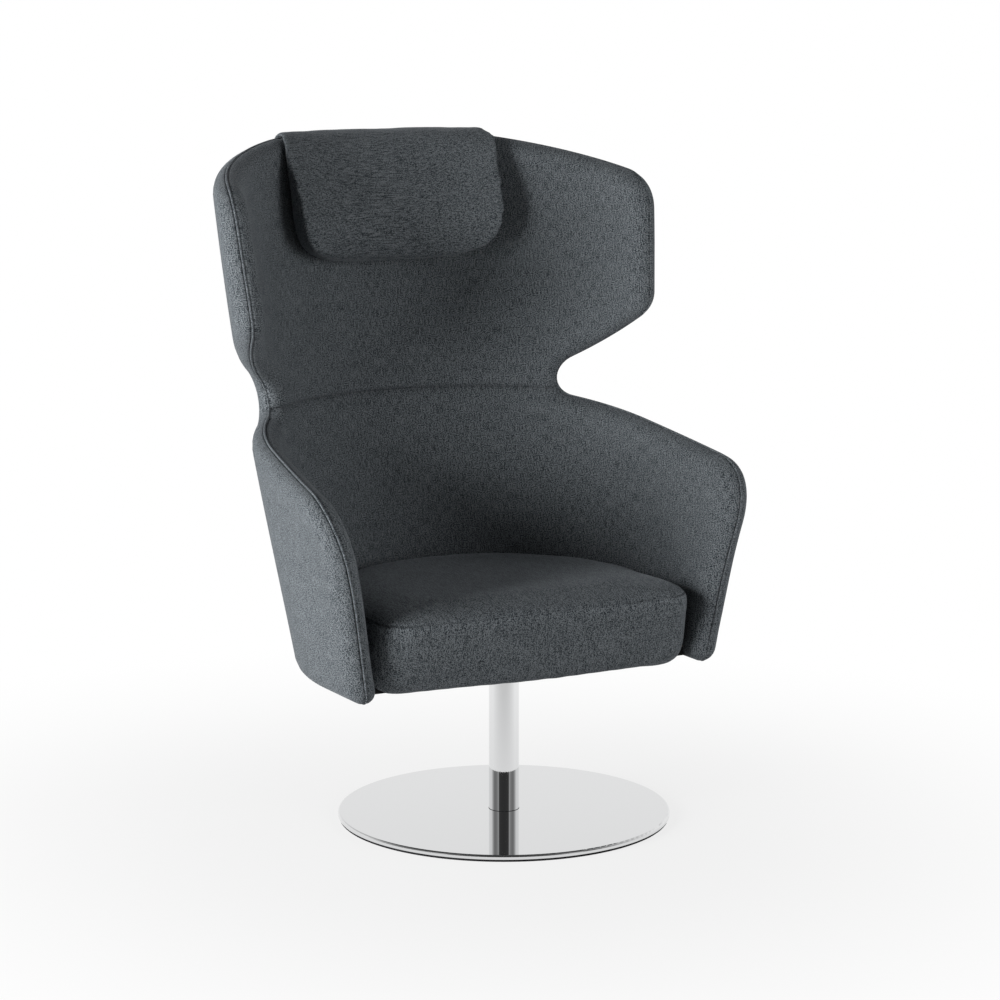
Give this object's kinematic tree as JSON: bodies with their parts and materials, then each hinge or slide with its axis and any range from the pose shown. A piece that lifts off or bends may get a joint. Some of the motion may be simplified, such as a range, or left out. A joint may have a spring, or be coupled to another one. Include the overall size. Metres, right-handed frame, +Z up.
{
  "type": "swivel wing chair",
  "caption": "Upholstered wing-back swivel armchair with a loose seat cushion and a sliding head pillow, on a polished column and flat disc base.",
  "frame": {"origin": "on the floor, where the swivel axis meets the underside of the floor pad", "axes": "+Z up along the swivel axis, -Y the way the sitter faces, +X to the sitter's left"},
  "size_m": [0.8234, 0.8288, 1.108],
  "materials": {
    "pad": "matte black felt",
    "chrome": "polished",
    "steel": "zinc plated",
    "black_steel": "black powder coat",
    "nylon": "natural nylon",
    "plywood": "raw beech ply",
    "black_cloth": "spunbond dust cloth",
    "upholstery": "blue-grey melange weave over foam"
  },
  "bodies": {
    "base": {"floor_pad": "pad", "base_disc": "chrome", "column_tube": "chrome", "column_plug": "steel", "base_bolt": "steel", "lower_bush": "nylon", "upper_bush": "nylon", "thrust_washer": "nylon"},
    "seat": {"swivel_spindle": "steel", "spindle_clip": "steel", "swivel_plate": "black_steel", "plate_bolts": "steel", "plate_washers": "steel", "pan_nuts": "steel", "shell_screws": "steel", "seat_pan": "plywood", "dust_cover": "black_cloth", "shell_core": "plywood", "outer_upholstery": "upholstery", "rim_piping": "upholstery", "inner_back_panel": "upholstery", "inner_arm_panel": "upholstery", "seat_cushion": "upholstery", "headrest_flap": "upholstery"},
    "headrest": {"headrest_cushion": "upholstery"},
    "counterweight": {"counterweight_bar": "steel", "counterweight_pouch": "upholstery"}
  },
  "joints": [
    {"name": "swivel", "type": "hinge", "parent": "base", "child": "seat", "pos_m": [0, 0, 0.2], "axis": [0, 0, 1], "continuous": true},
    {"name": "headrest_slide", "type": "slide", "parent": "seat", "child": "headrest", "axis": [0, -0.1951, -0.9808], "range_m": [0, 0.08]},
    {"name": "counterweight_slide", "type": "slide", "parent": "seat", "child": "counterweight", "axis": [0, 0.1951, 0.9808], "range_m": [0, 0.08]}
  ],
  "couplings": [
    {"joint": "counterweight_slide", "follows": "headrest_slide", "ratio": 1}
  ]
}
